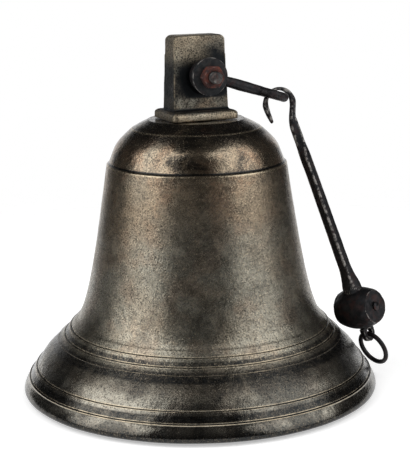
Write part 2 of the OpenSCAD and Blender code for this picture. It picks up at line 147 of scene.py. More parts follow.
class HammerSizes(bpy.types.PropertyGroup):
    """Sizes of the hammer."""
    shank_x: length("Shank offset", "The shank's axis from the hook's bearing", 1.8)
    shank_top_w: length("Shank top", "Width of the square shank below the hook", 7.6)
    shank_foot_w: length("Shank foot", "Width of the square shank above the head", 9.4)
    hook_t: length("Hook thickness", "Thickness of the hook across its plane", 5)
    hook_d: length("Hook bend", "Outer diameter of the hook's bend", 29.4)
    hook_hole_d: length("Hook opening", "Diameter of the hook's opening", 20.4)
    hook_wear: length("Hook wear", "How far wear has moved the opening up", 2)
    hook_tail_l: length("Hook tail", "Height of the hook's bearing above the tip of its tail", 17.6)
    hook_gap: length("Hook gap", "Clearance of the hook on the eye's bar", 0.4)
    collar_d: length("Collar", "Diameter of the collar where it meets the head", 17)
    head_d: length("Head", "Diameter of the head at its middle", 37.4)
    head_turn: angle("Head turn", "Turn of the head and the bar's foot from the hook's plane", 62)
    tail_hole_l: length("Tail hole", "Distance from the head's centre to the hole in the tail", 24.2)
    tail_hole_d: length("Tail hole diameter", "Diameter of the hole in the tail", 7.4)
    wire_d: length("Ring wire", "Diameter of the pull ring's wire", 4)
    ring_gap: length("Ring gap", "Clearance of the ring's wire above the hole's lower side", 0.9)


class Finishes(bpy.types.PropertyGroup):
    """Colours of the finishes."""
    bronze: colour("Bronze", "Rubbed golden brown bronze", 0.34, 0.267, 0.187)
    bronze_green: colour("Green bronze", "Grey-green tone in the bronze", 0.31, 0.29, 0.235)
    bronze_red: colour("Red bronze", "Coppery brown in the bronze", 0.33, 0.20, 0.125)
    bronze_cool: colour("Cool bronze", "Blue-grey bronze low on the bell", 0.32, 0.305, 0.262)
    # Bright bronze for rubbed arrises, and also for painted highlights on the bell's mouldings and on the lug
    bronze_rub_and_highlight: colour("Bright bronze", "Bronze rubbed bright on its arrises", 0.62, 0.52, 0.37)
    # Dark bronze for tarnish, and also for painted shade on the upper sound bow
    bronze_tarnish_and_shade: colour("Dark bronze", "Tarnished bronze", 0.10, 0.085, 0.068)
    # Near-black for soot, patina and dark iron, and also for painted shade on the bell and the lug
    soot_and_shade: colour("Soot", "Near-black patches and grooves", 0.016, 0.018, 0.02)
    iron: colour("Iron", "Dark forged iron", 0.035, 0.033, 0.035)
    iron_worn: colour("Worn iron", "Iron rubbed bright along its edges", 0.34, 0.32, 0.30)
    rust: colour("Rust", "Rust on the nut and the head", 0.13, 0.042, 0.03)
    steel: colour("Steel", "Dull steel of the bolt", 0.12, 0.115, 0.11)


class StageSettings(bpy.types.PropertyGroup):
    """Camera, lamps and floor."""
    camera_at: FloatVectorProperty(name="Camera place", description="Where the camera stands", size=3,
                                   default=(-0.4478, -1.0549, 0.385), subtype="TRANSLATION", unit="LENGTH")
    heading: angle("Heading", "Camera's heading, clockwise from +Y", 23.3)
    tilt: angle("Tilt", "How far the camera looks down", 12.35)
    roll: angle("Roll", "Camera's roll", -0.9)
    lens: number("Lens", "Focal length on a 36 mm sensor, in millimetres", 107.03)
    floor: colour("Floor", "Pale floor", 0.86, 0.86, 0.86)
    floor_r: number("Floor radius", "Radius of the floor", 2.2, "LENGTH")
    ambient: number("Ambient", "Strength of the room's light on the object", 0.45)
    room: number("Room", "Brightness of the room that metal mirrors", 0.02)
    left_w: number("Left lamp", "Power of the soft lamp on the left", 13, "POWER")
    right_w: number("Right lamp", "Power of the soft lamp on the right", 10.6, "POWER")
    lamp_side: angle("Lamp angle", "Angle of each soft lamp from the camera, around the bell", 64)
    lamp_size: FloatVectorProperty(name="Lamp size", description="Width and height of each soft lamp", size=2,
                                   default=(1.2, 1.6), unit="LENGTH")
    lamp_up: number("Lamp height", "Height of each soft lamp's middle", 0.85, "LENGTH")


class BellSettings(bpy.types.PropertyGroup):
    """All of the bell's settings."""
    bell: PointerProperty(type=BellSizes)
    bolt: PointerProperty(type=BoltSizes)
    arm: PointerProperty(type=ArmSizes)
    hammer: PointerProperty(type=HammerSizes)
    finishes: PointerProperty(type=Finishes)
    stage: PointerProperty(type=StageSettings)


def settings():
    """The settings of the scene."""
    return bpy.context.scene.hammer_bell


# Profiles and outlines

# Turn in degrees below which a corner stays as it is
SLIGHT_TURN = 14


def moved(point, x, y):
    """A point moved by millimetres."""
    return (point[0] + x / 1000, point[1] + y / 1000)


def curve(start, leave, arrive, end, n):
    """Points of a cubic curve without its first point, bent by moves in millimetres from both its ends."""
    handles = (start, moved(start, *leave), moved(end, *arrive), end)
    points = []
    for i in range(1, n + 1):
        t = i / n
        u = 1 - t
        weights = (u * u * u, 3 * u * u * t, 3 * u * t * t, t * t * t)
        points.append(tuple(sum(w * point[k] for w, point in zip(weights, handles)) for k in (0, 1)))
    return points


def arc(centre, radius, start, end, n):
    """Points of an arc between two angles in degrees, without its first point."""
    angles = [math.radians(start + (end - start) * i / n) for i in range(1, n + 1)]
    return [(centre[0] + radius * math.cos(a), centre[1] + radius * math.sin(a)) for a in angles]


def along(point, start, end, way):
    """A point moved by a length along the way from one point to another."""
    t = (Vector(end) - Vector(start)).normalized() * way
    return (point[0] + t.x, point[1] + t.y)


def line_at(point, start, end, width, step):
    """Points of a fine line across an outline that runs from start to end, with an edge below the line."""
    t = (Vector(end) - Vector(start)).normalized()
    out = Vector((t.y, -t.x)) * step / 2
    here = Vector(point)
    places = (here - 1.2 * width * t + out, here - 0.5 * width * t + out, here - out, here + width * t)
    return [tuple(place) for place in places]


def rounded(points, radius, n=4):
    """A closed outline with a small round in place of each corner, apart from the slight ones."""
    result = []
    for i, point in enumerate(points):
        here = Vector(point)
        back = Vector(points[i - 1]) - here
        ahead = Vector(points[(i + 1) % len(points)]) - here
        turned = math.pi - back.angle(ahead)
        if math.degrees(turned) < SLIGHT_TURN:
            result.append(tuple(here))
            continue
        cut = min(radius * math.tan(turned / 2), 0.4 * back.length, 0.4 * ahead.length)
        a = here + back.normalized() * cut
        b = here + ahead.normalized() * cut
        for k in range(n + 1):
            t = k / n
            result.append(tuple(a * (1 - t) ** 2 + here * 2 * t * (1 - t) + b * t * t))
    return result


def filled(points, low, high, reach):
    """A closed outline with points added between two heights, none further from the next than a length."""
    result = []
    for here, ahead in zip(points, points[1:] + points[:1]):
        n = math.ceil(math.dist(here, ahead) / reach) if low < here[1] < high else 1
        result += [tuple(Vector(here).lerp(Vector(ahead), k / n)) for k in range(n)]
    return result


# Meshes

# Layers of noise that roughen a surface, each a depth and a size in metres
LUG_GRAIN = ((0.0003, 0.018), (0.00012, 0.004))
WASHER_GRAIN = ((0.00015, 0.006),)
ARM_GRAIN = ((0.00025, 0.01), (0.00012, 0.003))
SHANK_GRAIN = ((0.00025, 0.012), (0.00012, 0.003))
HEAD_GRAIN = ((0.001, 0.014), (0.0004, 0.004))
# Points around each turned or forged shape
BELL_N = 288
WASHER_N = 72
HEXAGON_N = 72
BOLT_N = 48
BOSS_N = 64
BAR_N = 24
FORGED_N = 28
# What melting takes off a forged bar on each side
MELT = 0.0003


def new_object(name, bm):
    """A new object of a bmesh, with its normals made to point out."""
    bmesh.ops.remove_doubles(bm, verts=bm.verts, dist=1e-7)
    bmesh.ops.recalc_face_normals(bm, faces=bm.faces)
    mesh = bpy.data.meshes.new(name)
    bm.to_mesh(mesh)
    bm.free()
    ob = bpy.data.objects.new(name, mesh)
    bpy.context.scene.collection.objects.link(ob)
    mesh.polygons.foreach_set("use_smooth", [True] * len(mesh.polygons))
    return ob


def skin(bm, rings, closed=False):
    """Joins rings of as many points each by quads. The last ring meets the first, or each end gets a face."""
    made = [[bm.verts.new(p) for p in ring] for ring in rings]
    pairs = list(zip(made, made[1:]))
    if closed:
        pairs.append((made[-1], made[0]))
    n = len(made[0])
    for low, high in pairs:
        for k in range(n):
            bm.faces.new((low[k], low[(k + 1) % n], high[(k + 1) % n], high[k]))
    if not closed:
        bm.faces.new(made[0][::-1])
        bm.faces.new(made[-1])


def full_turn(n):
    """Equal angles around a circle."""
    return [2 * math.pi * k / n for k in range(n)]


def round_points(ring, place):
    """Points of a ring given as (radius, turn, height)."""
    return [place @ Vector((r * math.cos(t), r * math.sin(t), z)) for r, t, z in ring]


def lathe(bm, outline, segments, place=Matrix.Identity(4)):
    """Turns a closed outline of (radius, height) around Z."""
    turns = full_turn(segments)
    rings = [round_points([(radius, t, height) for t in turns], place) for radius, height in outline]
    skin(bm, rings, closed=True)


def apply_modifiers(ob):
    """Bakes an object's modifiers into its mesh."""
    bpy.context.view_layer.update()
    made = bpy.data.meshes.new_from_object(ob.evaluated_get(bpy.context.evaluated_depsgraph_get()))
    old = ob.data
    ob.modifiers.clear()
    ob.data = made
    made.name = ob.name
    bpy.data.meshes.remove(old)
    made.polygons.foreach_set("use_smooth", [True] * len(made.polygons))


def fuse(ob, voxel, smooth):
    """Melts an object's shells into one skin and smooths it, as forging or casting does."""
    remesh = ob.modifiers.new("melt", "REMESH")
    remesh.mode = "VOXEL"
    remesh.voxel_size = voxel
    remesh.adaptivity = 0
    soften = ob.modifiers.new("soften", "SMOOTH")
    soften.factor = 0.5
    soften.iterations = smooth
    apply_modifiers(ob)


def solid(node):
    """The mesh of a CAD node, its split corners welded."""
    bm = bmesh.new()
    bm.from_mesh(frame["nodes"][node].data)
    bmesh.ops.remove_doubles(bm, verts=bm.verts, dist=1e-6)
    return bm


def roughen(ob, layers, seed):
    """Sinks each point along its normal by layers of noise, each a depth and a size in metres."""
    mesh = ob.data
    shift = Vector((seed * 3.7, seed * 1.9, seed * 5.3))
    normals = [v.normal.copy() for v in mesh.vertices]
    for v, normal in zip(mesh.vertices, normals):
        sink = 0
        for depth, size in layers:
            sink += depth * (0.5 + 0.5 * max(-1, min(1, 1.4 * noise.noise(v.co / size + shift))))
        v.co -= normal * sink
    mesh.update()


def mark_wear(ob, reach):
    """Stores how far each point stands out from its neighbours, from 0 in a hollow to 1 on an edge."""
    bm = bmesh.new()
    bm.from_mesh(ob.data)
    bm.normal_update()
    values = []
    for v in bm.verts:
        bend = [(e.other_vert(v).normal - v.normal).dot(e.other_vert(v).co - v.co)
                / max(e.calc_length(), 1e-9) ** 2 for e in v.link_edges]
        values.append(sum(bend) / len(bend) * reach)
    for _ in range(2):
        values = [0.5 * values[v.index] + 0.5 * sum(values[e.other_vert(v).index] for e in v.link_edges)
                  / len(v.link_edges) for v in bm.verts]
    bm.free()
    layer = ob.data.attributes.get("wear") or ob.data.attributes.new("wear", "FLOAT", "POINT")
    layer.data.foreach_set("value", [max(0, min(1, 0.5 + 0.5 * value)) for value in values])


def weather(ob, layers, seed, reach):
    """Roughens a piece and marks where it is worn."""
    roughen(ob, layers, seed)
    mark_wear(ob, reach)


# Finishes

# Heights in metres over which a tone comes in on the bell, each from its start to its full strength
GREEN_BELOW = (0.19, 0.1)
COOL_BELOW = (0.05, 0.02)
# Darker patches low on the bell, below the top of the sound bow
BOW_DARK_BELOW = (0.05, 0.042)
# Painted shade, near-black under the lip down to the standing edge
EDGE_SHADE_BELOW = (0.0135, 0.006)
POLISH_BELOW = (0.046, 0.018)
RED_ABOVE = (0.15, 0.2)
PATCHES_ABOVE = (0.18, 0.205)
# Darker near the crown, in noisy patches
CROWN_DARK_ABOVE = (0.212, 0.224)
GLINTS_ABOVE = (0.04, 0.06)
GRAIN_ABOVE = (0.018, 0.03)
DOME_ABOVE = (0.19, 0.2)
# Bands around the bell and the lug, each with the height of its middle, its half width and its soft side
# Painted shade over the upper part of the sound bow, where it faces up
BOW_SHADE_BAND = (0.042, 0.005, 0.006)
# Bands of painted shade on the mouldings: just above the foot line, around the sound bow's top and between
# the lip line and the bow line
SHADE_BANDS = ((0.0541, 0.0012, 0.0014), (0.0459, 0.0026, 0.0018), (0.0196, 0.0022, 0.0014))
LUG_LINE = (0.2408, 0.0007, 0.0012)
# Heights on the lug: its foot with painted light, the strip above it that the painted shadow leaves out, its
# middle in painted shade and its top with painted light
LUG_LIT_FOOT_BELOW = (0.239, 0.238)
LUG_STRIP_END = (0.2492, 0.2515)
LUG_SHADE_ABOVE = (0.2485, 0.2525)
LUG_SHADE_BELOW = (0.29, 0.27)
LUG_LIT_TOP_ABOVE = (0.274, 0.288)


class Board:
    """A short way to place and join shader nodes."""

    def __init__(self, tree):
        self.tree = tree

    def add(self, kind, **values):
        """A node whose settings, in lower case, and sockets get values. A socket as a value is joined."""
        node = self.tree.nodes.new(kind)
        for key, value in values.items():
            if key.islower():
                setattr(node, key, value)
            else:
                self.put(node.inputs[key], value)
        return node

    def put(self, socket, value):
        """Joins an output to a socket, or sets the socket's value."""
        if isinstance(value, bpy.types.NodeSocket):
            self.tree.links.new(value, socket)
        elif socket.type == "RGBA":
            socket.default_value = (*value, 1)
        else:
            socket.default_value = value

    def fed(self, kind, *inputs, **values):
        """A node like that of add, whose first sockets get inputs."""
        node = self.add(kind, **values)
        for socket, value in zip(node.inputs, inputs):
            self.put(socket, value)
        return node

    def ramp(self, value, low, high, start=0.0, end=1.0):
        """A value's range moved smoothly to another one."""
        return self.fed("ShaderNodeMapRange", value, low, high, start, end,
                        interpolation_type="SMOOTHSTEP").outputs["Result"]

    def maths(self, kind, a, b=0, use_clamp=False):
        """Arithmetic on two values."""
        return self.fed("ShaderNodeMath", a, b, operation=kind, use_clamp=use_clamp).outputs[0]

    def plus(self, a, b):
        """The sum of two values, held between 0 and 1."""
        return self.maths("ADD", a, b, use_clamp=True)

    def times(self, *values):
        """The product of values."""
        return reduce(partial(self.maths, "MULTIPLY"), values)

    def most(self, *values):
        """The largest of values."""
        return reduce(partial(self.maths, "MAXIMUM"), values)

    def vector(self, kind, a, b=(0, 0, 0)):
        """A number made from two vectors."""
        return self.fed("ShaderNodeVectorMath", a, b, operation=kind).outputs["Value"]

    def xyz(self, vector):
        """The X, Y and Z of a vector."""
        return self.add("ShaderNodeSeparateXYZ", Vector=vector).outputs

    def mix(self, amount, a, b):
        """A mix of two colours."""
        node = self.fed("ShaderNodeMix", amount, data_type="RGBA")
        self.put(node.inputs[6], a)
        self.put(node.inputs[7], b)
        return node.outputs[2]


class MaterialBoard(Board):
    """The nodes of one material, whose colour is laid on coat by coat."""

    def __init__(self, name, base=None):
        self.material = bpy.data.materials.new(name)
        self.material.use_nodes = True
        super().__init__(self.material.node_tree)
        self.shader = self.tree.nodes["Principled BSDF"]
        self.place = self.add("ShaderNodeTexCoord").outputs["Object"]
        self.base = base

    def noise(self, size, detail=4, rough=0.6, at=None, warp=0):
        """Noise whose lumps have a size in metres, as a number around 0.5."""
        return self.add("ShaderNodeTexNoise", Vector=at or self.place, Scale=1 / size, Detail=detail,
                        Roughness=rough, Distortion=warp).outputs["Fac"]

    def shifted(self, x, y, z):
        """The object's place moved, for noise that has nothing to do with another."""
        return self.add("ShaderNodeMapping", Vector=self.place, Location=(x, y, z)).outputs[0]

    def band(self, value, middle, half, soft):
        """1 within half a width of a middle value, with soft sides."""
        away = self.maths("ABSOLUTE", self.maths("SUBTRACT", value, middle))
        return self.ramp(away, half, half + soft, 1, 0)

    def wear(self):
        """How far the surface stands out, from 0 in a hollow to 1 on an arris."""
        return self.add("ShaderNodeAttribute", attribute_name="wear").outputs["Fac"]

    def coat(self, colour, *shares):
        """Lays a colour over the base, as strong as the product of its shares."""
        self.base = self.mix(self.times(*shares), self.base, colour)

    def finish(self, roughness, metal, *layers):
        """Joins the colour and roughness, and stacks bumps of (value, height in metres, strength)."""
        for key, value in (("Base Color", self.base), ("Roughness", roughness), ("Metallic", metal)):
            self.put(self.shader.inputs[key], value)
        normal = None
        for value, height, strength in layers:
            bump = self.add("ShaderNodeBump", Height=value, Distance=height, Strength=strength)
            if normal is not None:
                self.put(bump.inputs["Normal"], normal)
            normal = bump.outputs["Normal"]
        self.put(self.shader.inputs["Normal"], normal)
        return self.material


def bronze_material():
    """Aged cast bronze: brown above, grey-green below, speckled, with patina and painted shade in its
    hollows, rubbing and painted highlights on its arrises, and painted shade on its mouldings and under its
    lip.
    """
    f = settings().finishes
    b = MaterialBoard("cast_bronze")
    z = b.xyz(b.place)["Z"]
    tone = b.plus(b.ramp(b.noise(0.07, 3), 0.35, 0.65, -0.35, 0.35), b.ramp(z, *GREEN_BELOW))
    b.base = b.mix(tone, f.bronze, f.bronze_green)
    red = b.ramp(b.noise(0.03, 5, at=b.shifted(0.3, 0.1, 0.7)), 0.48, 0.64)
    b.coat(f.bronze_red, red, b.ramp(z, *RED_ABOVE, 0.3, 0.6))
    b.coat(f.bronze_cool, b.ramp(z, *COOL_BELOW, 0, 0.6))
    b.coat(f.bronze_tarnish_and_shade, b.ramp(b.noise(0.02, 7, 0.68, warp=0.6), 0.5, 0.68), 0.5)
    patches = b.ramp(b.noise(0.03, 7, 0.7, at=b.shifted(0.9, 0.4, 0.2), warp=0.8), 0.52, 0.64)
    b.coat(f.soot_and_shade, patches, b.ramp(z, *PATCHES_ABOVE, 0.3, 0.85))
    b.coat(f.soot_and_shade, b.ramp(z, *CROWN_DARK_ABOVE), b.ramp(b.noise(0.016, 6, 0.65), 0.32, 0.5), 0.85)
    # Painted shade: dark bronze over the upper part of the sound bow
    b.coat(f.bronze_tarnish_and_shade, b.band(z, *BOW_SHADE_BAND), b.ramp(b.noise(0.02, 7, 0.66), 0.3, 0.6, 0.4, 1), 0.75)
    b.coat(f.soot_and_shade, b.ramp(z, *BOW_DARK_BELOW), b.ramp(b.noise(0.045, 7, 0.62, warp=0.7), 0.42, 0.6), 0.72)
    # Painted shade in bands on the mouldings, made patchy by noise
    shade_bands = b.most(*[b.band(z, *band) for band in SHADE_BANDS])
    b.coat(f.soot_and_shade, shade_bands, b.ramp(b.noise(0.009, 6, 0.66), 0.3, 0.6, 0.6, 0.95))
    # Painted shade under the lip, near the standing edge
    b.coat(f.soot_and_shade, b.ramp(z, *EDGE_SHADE_BELOW, 0, 0.94))
    b.coat(f.bronze_tarnish_and_shade, b.ramp(b.noise(0.0036, 4, 0.7), 0.44, 0.64), 0.4)
    speck = b.ramp(b.noise(0.0012, 3, 0.75), 0.5, 0.62)
    b.coat(f.soot_and_shade, speck, 0.75)
    glint = b.ramp(b.noise(0.0011, 2, 0.6, at=b.shifted(0.5, 0.2, 0.1)), 0.56, 0.66)
    b.coat(f.bronze_rub_and_highlight, glint, b.ramp(z, *GLINTS_ABOVE, 0.15, 0.45))
    wear = b.wear()
    # Rubbing and painted highlights on the mouldings' arrises, then patina and painted shade in their hollows
    b.coat(f.bronze_rub_and_highlight, b.ramp(wear, 0.58, 0.9), b.ramp(b.noise(0.008, 5), 0.3, 0.55, 0.25, 1), 0.75)
    b.coat(f.soot_and_shade, b.ramp(wear, 0.46, 0.2), 0.96)
    polish = b.most(b.ramp(z, *POLISH_BELOW, 0, 0.112), b.ramp(z, *DOME_ABOVE, 0, 0.104))
    rough = b.maths("SUBTRACT", b.ramp(b.noise(0.012, 6, 0.65), 0.3, 0.7, 0.19, 0.31), polish)
    rough = b.plus(rough, b.times(speck, 0.2))
    drawn_out = b.add("ShaderNodeMapping", Vector=b.place, Scale=(0.03, 0.03, 1)).outputs[0]
    turned = b.noise(0.0022, 3, at=drawn_out)
    grain = b.maths("MINIMUM", b.ramp(z, *GRAIN_ABOVE, 0.15, 0.5), b.ramp(z, *DOME_ABOVE, 0.5, 0.32))
    return b.finish(rough, 0.95, (turned, 0.0003, 0.14), (b.noise(0.0045, 4, 0.6), 0.0008, 0.24),
                    (b.noise(0.0013, 3, 0.7), 0.0004, grain))


def lug_material():
    """The lug's bronze: finely speckled, with painted light high up and along its foot, painted shade on its
    left side and over its middle, and the washer's shadow painted around the bolt.
    """
    f = settings().finishes
    b = MaterialBoard("lug_bronze")
    place = b.xyz(b.place)
    b.base = b.mix(b.ramp(b.noise(0.02, 5), 0.4, 0.62), f.bronze_green, f.bronze)
    b.coat(f.bronze_tarnish_and_shade, b.ramp(b.noise(0.012, 6, 0.66, warp=0.4), 0.4, 0.62), 0.7)
    # Painted shadow of the washer and the arm around the bolt, broken up by noise and left off the strip
    # above the foot
    away = b.vector("DISTANCE", b.place, PIVOT + Vector((0.001, 0.004, 0)))
    washer_shadow = b.plus(b.ramp(away, 0.03, 0.02), b.ramp(b.noise(0.005, 5), 0.5, 0.66, 0, 0.5))
    b.coat(f.soot_and_shade, washer_shadow, b.ramp(place["Z"], *LUG_STRIP_END), b.ramp(away, 0.042, 0.026))
    # Painted shade on the lug's left side, on faces turned towards -X
    facing = b.xyz(b.add("ShaderNodeTexCoord").outputs["Normal"])
    b.coat(f.soot_and_shade, b.ramp(facing["X"], -0.4, -0.8), 0.78)
    # Painted shade over the lug's middle, between its lit foot and its lit top
    middle = b.times(b.ramp(place["Z"], *LUG_SHADE_BELOW), b.ramp(place["Z"], *LUG_SHADE_ABOVE))
    b.coat(f.soot_and_shade, middle, b.ramp(b.noise(0.007, 6), 0.35, 0.6, 0.45, 0.9))
    # Painted highlight in bright bronze on the top of the lug, towards its left, and along its foot
    lit_top = b.times(b.ramp(place["Z"], *LUG_LIT_TOP_ABOVE), b.ramp(place["X"], 0.014, -0.006))
    b.coat(f.bronze_rub_and_highlight, b.most(lit_top, b.ramp(place["Z"], *LUG_LIT_FOOT_BELOW)), 0.45)
    speck = b.ramp(b.noise(0.0011, 3, 0.75), 0.46, 0.6)
    b.coat(f.soot_and_shade, speck, 0.85)
    b.coat(f.soot_and_shade, b.band(place["Z"], *LUG_LINE), 0.9)
    wear = b.wear()
    b.coat(f.bronze_rub_and_highlight, b.ramp(wear, 0.58, 0.85), b.ramp(b.noise(0.004, 5), 0.4, 0.6), 0.35)
    b.coat(f.soot_and_shade, b.ramp(wear, 0.44, 0.25))
    rough = b.plus(b.ramp(b.noise(0.008, 5), 0.3, 0.7, 0.3, 0.48), b.times(speck, 0.2))
    return b.finish(rough, 0.9, (b.noise(0.004, 4), 0.0008, 0.35), (b.noise(0.0011, 3, 0.7), 0.0004, 0.7))


def iron_material(name, base, rust=0.15, shine=0.45, metal=0.7):
    """Dark iron with a trace of rust, rubbed bright along its edges."""
    f = settings().finishes
    b = MaterialBoard(name, base)
    b.shader.inputs["Specular IOR Level"].default_value = 0.25
    b.coat(f.soot_and_shade, b.ramp(b.noise(0.005, 6, 0.65), 0.38, 0.58), 0.8)
    b.coat(f.rust, b.ramp(b.noise(0.006, 6, 0.7, warp=0.5), 0.48, 0.66), rust)
    b.coat(f.iron_worn, b.ramp(b.wear(), 0.62, 0.86), b.ramp(b.noise(0.004, 5), 0.42, 0.58), 0.85)
    rough = b.ramp(b.noise(0.006, 5), 0.3, 0.7, shine - 0.1, shine + 0.18)
    return b.finish(rough, metal, (b.noise(0.003, 4), 0.0005, 0.5), (b.noise(0.0009, 3), 0.0002, 0.4))


def dress(ob, material, body, slot, *nodes):
    """Gives a piece its finish and the body it rides on, and hides the CAD nodes that it stands for. Its slot
    is not used.
    """
    ob.data.materials.clear()
    ob.data.materials.append(material)
    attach(ob, body)
    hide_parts(*nodes)


# Bell

# Heights between which the outline is split finely, and the longest piece there
FINE_FROM = 0.016
FINE_TO = 0.064
FINE_STEP = 0.0008
# Sine of the turn that makes a line's hollow or arris
LINE_TURN = 0.3
# How far the tone of a hollow or an arris reaches
LINE_REACH = 0.0011


def bell_profile(sizes):
    """The casting's outer and inner outlines as (radius, height), from the standing edge up to the crown."""
    mouth, _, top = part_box("bell_body")[1]
    step, ledge, drop, line = sizes.line_step, sizes.ledge_step, sizes.line_drop, sizes.line_l
    edge = (mouth - sizes.edge_in, 0)
    lip = (mouth, sizes.lip_h)
    lip_line = (mouth - sizes.lip_line_in, sizes.lip_line_h)
    bow_line = (mouth - sizes.bow_line_in, sizes.bow_line_h)
    lip_end = along(lip_line, lip_line, bow_line, -2 * line)
    bow_start = along(bow_line, lip_line, bow_line, 2 * line)
    bow_end = (mouth - sizes.bow_top_in, sizes.bow_top_h)
    ring_edge = (bow_end[0] + sizes.ring_step, bow_end[1] + drop / 2)
    foot_line = (mouth - sizes.foot_line_in, sizes.foot_line_h)
    waist_foot = (mouth - sizes.waist_foot_in, foot_line[1] + sizes.foot_gap + sizes.foot_gap_2)
    part = sizes.foot_gap / (sizes.foot_gap + sizes.foot_gap_2)
    mid = (foot_line[0] + (waist_foot[0] - foot_line[0]) * part, foot_line[1] + sizes.foot_gap)
    waist_end = (waist_foot[0] - step / 2, waist_foot[1] + drop / 2)
    shoulder = (sizes.shoulder_r, top - sizes.shoulder_drop - drop)
    dome_start = (sizes.shoulder_r - ledge, top - sizes.shoulder_drop + drop / 2)
    crown_line = (sizes.crown_line_r, top - sizes.crown_line_drop)
    crown_edge = (crown_line[0] - step, crown_line[1] + drop / 2)
    seat = (sizes.crown_seat_r, top)
    waist = shoulder[1] - waist_end[1]

    outside = [edge]
    outside += curve(edge, (4, 1.2), (0, -650 * sizes.lip_h), lip, 14)
    outside += curve(lip, (0, 3), (1.4, -3), lip_end, 12)
    outside += line_at(lip_line, lip_line, bow_line, line, step)
    outside += line_at(bow_line, lip_line, bow_line, line, step)
    outside += [bow_start]
    outside += curve(bow_start, (-6.8, 11), (10.6, -8.8), bow_end, 24)
    outside += [ring_edge] + line_at(foot_line, foot_line, waist_foot, line, step)
    outside += line_at(mid, foot_line, waist_foot, line, step) + [waist_foot, waist_end]
    outside += curve(waist_end, (-92 * waist, 75 * waist), (49 * waist, -326 * waist), shoulder, 64)
    outside += [dome_start]
    outside += curve(dome_start, (-6.2, 14.4), (16.8, -14.4), crown_line, 30)
    outside += [crown_edge]
    outside += curve(crown_edge, (-3.7, 2.8), (4, -2.2), seat, 12)

    hole = settings().bolt.stud_d / 2 + settings().bolt.gap
    inner_edge = (edge[0] - sizes.edge_w, 0)
    inner_bow = (lip_line[0] - sizes.bow_wall, lip_line[1])
    inner_foot = moved((waist_foot[0] - sizes.waist_wall, waist_foot[1]), 0, 2)
    inner_shoulder = moved((shoulder[0] - sizes.waist_wall, top - sizes.shoulder_drop), 0, -6)
    inner_crown = (crown_line[0] - sizes.crown_wall, top - sizes.crown_wall)
    inside = [inner_edge]
    inside += curve(inner_edge, (-1.5, 7), (2.4, -6), inner_bow, 8)
    inside += curve(inner_bow, (-6.4, 16), (9.6, -16), inner_foot, 14)
    inside += curve(inner_foot, (-93 * waist, 130 * waist), (80 * waist, -500 * waist), inner_shoulder, 30)
    inside += curve(inner_shoulder, (-2.6, 14), (12, 0), inner_crown, 14)
    inside += [(0.03, inner_crown[1]), (hole, inner_crown[1]), (hole, top), (0.02, top), (0.03, top)]
    return outside, inside


def shape_bell(sizes):
    """Turns the casting and gives it the unevenness of a sand mould."""
    outside, inside = bell_profile(sizes)
    outline = rounded(outside + inside[::-1], sizes.arris)
    bm = bmesh.new()
    lathe(bm, filled(outline, FINE_FROM, FINE_TO, FINE_STEP), BELL_N)
    ob = new_object("bell_casting", bm)
    mark_lines(ob, *bell_lines(outside))
    roughen(ob, [(sizes.wave, 0.045), (sizes.wave / 3, 0.014), (sizes.grain, 0.003)], 1)
    return ob


def bell_lines(outside):
    """The hollows and the arrises of the outside, as (radius, height), found from how the outline turns."""
    hollows, edges = [], []
    last = 0
    for back, here, ahead in zip(outside, outside[1:], outside[2:]):
        a = Vector(here) - Vector(back)
        b = Vector(ahead) - Vector(here)
        turned = a.cross(b) / max(a.length * b.length, 1e-12)
        if turned < -LINE_TURN and last > LINE_TURN:
            hollows.append(here)
        elif turned > LINE_TURN:
            edges.append(here)
        last = turned
    return hollows, edges


def mark_lines(ob, hollows, edges):
    """Stores 0 in the lathe's hollows, 1 on its arrises and 0.5 elsewhere."""
    values = []
    for v in ob.data.vertices:
        here = Vector((math.hypot(v.co.x, v.co.y), v.co.z))
        sunk = max([0] + [1 - (here - Vector(p)).length / LINE_REACH for p in hollows])
        proud = max([0] + [1 - (here - Vector(p)).length / (0.8 * LINE_REACH) for p in edges])
        values.append(0.5 + 0.5 * proud - 0.5 * sunk)
    layer = ob.data.attributes.new("wear", "FLOAT", "POINT")
    layer.data.foreach_set("value", values)


# Lug

def shape_lug():
    """The lug's casting, its edges softened and its faces uneven."""
    ob = new_object("lug_casting", solid("crown_lug"))
    fuse(ob, 0.0007, 4)
    weather(ob, LUG_GRAIN, 2, 0.0016)
    return ob


# Bolt, nuts and washers

def bolt_place(node):
    """A place on a node's box whose Z runs along the bolt towards the front, and the box's length there."""
    low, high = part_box(node)
    middle = Vector(((low.x + high.x) / 2, high.y, (low.z + high.z) / 2))
    return Matrix.Translation(middle) @ Matrix.Rotation(math.pi / 2, 4, "X"), high.y - low.y


def crown_place(node):
    """A place at the foot of a node's box on the bell's axis, and the box's height."""
    low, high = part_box(node)
    return Matrix.Translation((0, 0, low.z)), high.z - low.z


def shape_washer(name, place, thick, radius, hole, seed):
    """A washer with worn edges. The seed sets its noise."""
    outline = rounded([(hole, 0), (radius, 0), (radius, thick), (hole, thick)], settings().bolt.edge)
    bm = bmesh.new()
    lathe(bm, outline, WASHER_N, place)
    ob = new_object(name, bm)
    weather(ob, WASHER_GRAIN, seed, 0.0006)
    return ob


def hexagon_rings(flats, height, chamfer):
    """Rings of a hexagonal prism along Z whose corners are chamfered by cones at both ends."""
    corner = flats / 2 / math.cos(math.pi / 6)
    face = flats / 2 * 0.985
    levels = [(0, 0), (0.35, 0.55), (1, 1)]
    steps = [(k * chamfer, cut) for k, cut in levels]
    steps += [(height - k * chamfer, cut) for k, cut in reversed(levels)]
    rings = []
    for z, cut in steps:
        limit = face + (corner - face) * cut
        rings.append([(min(flats / 2 / math.cos(turn % (math.pi / 3) - math.pi / 6), limit), turn, z)
                      for turn in full_turn(HEXAGON_N)])
    return rings


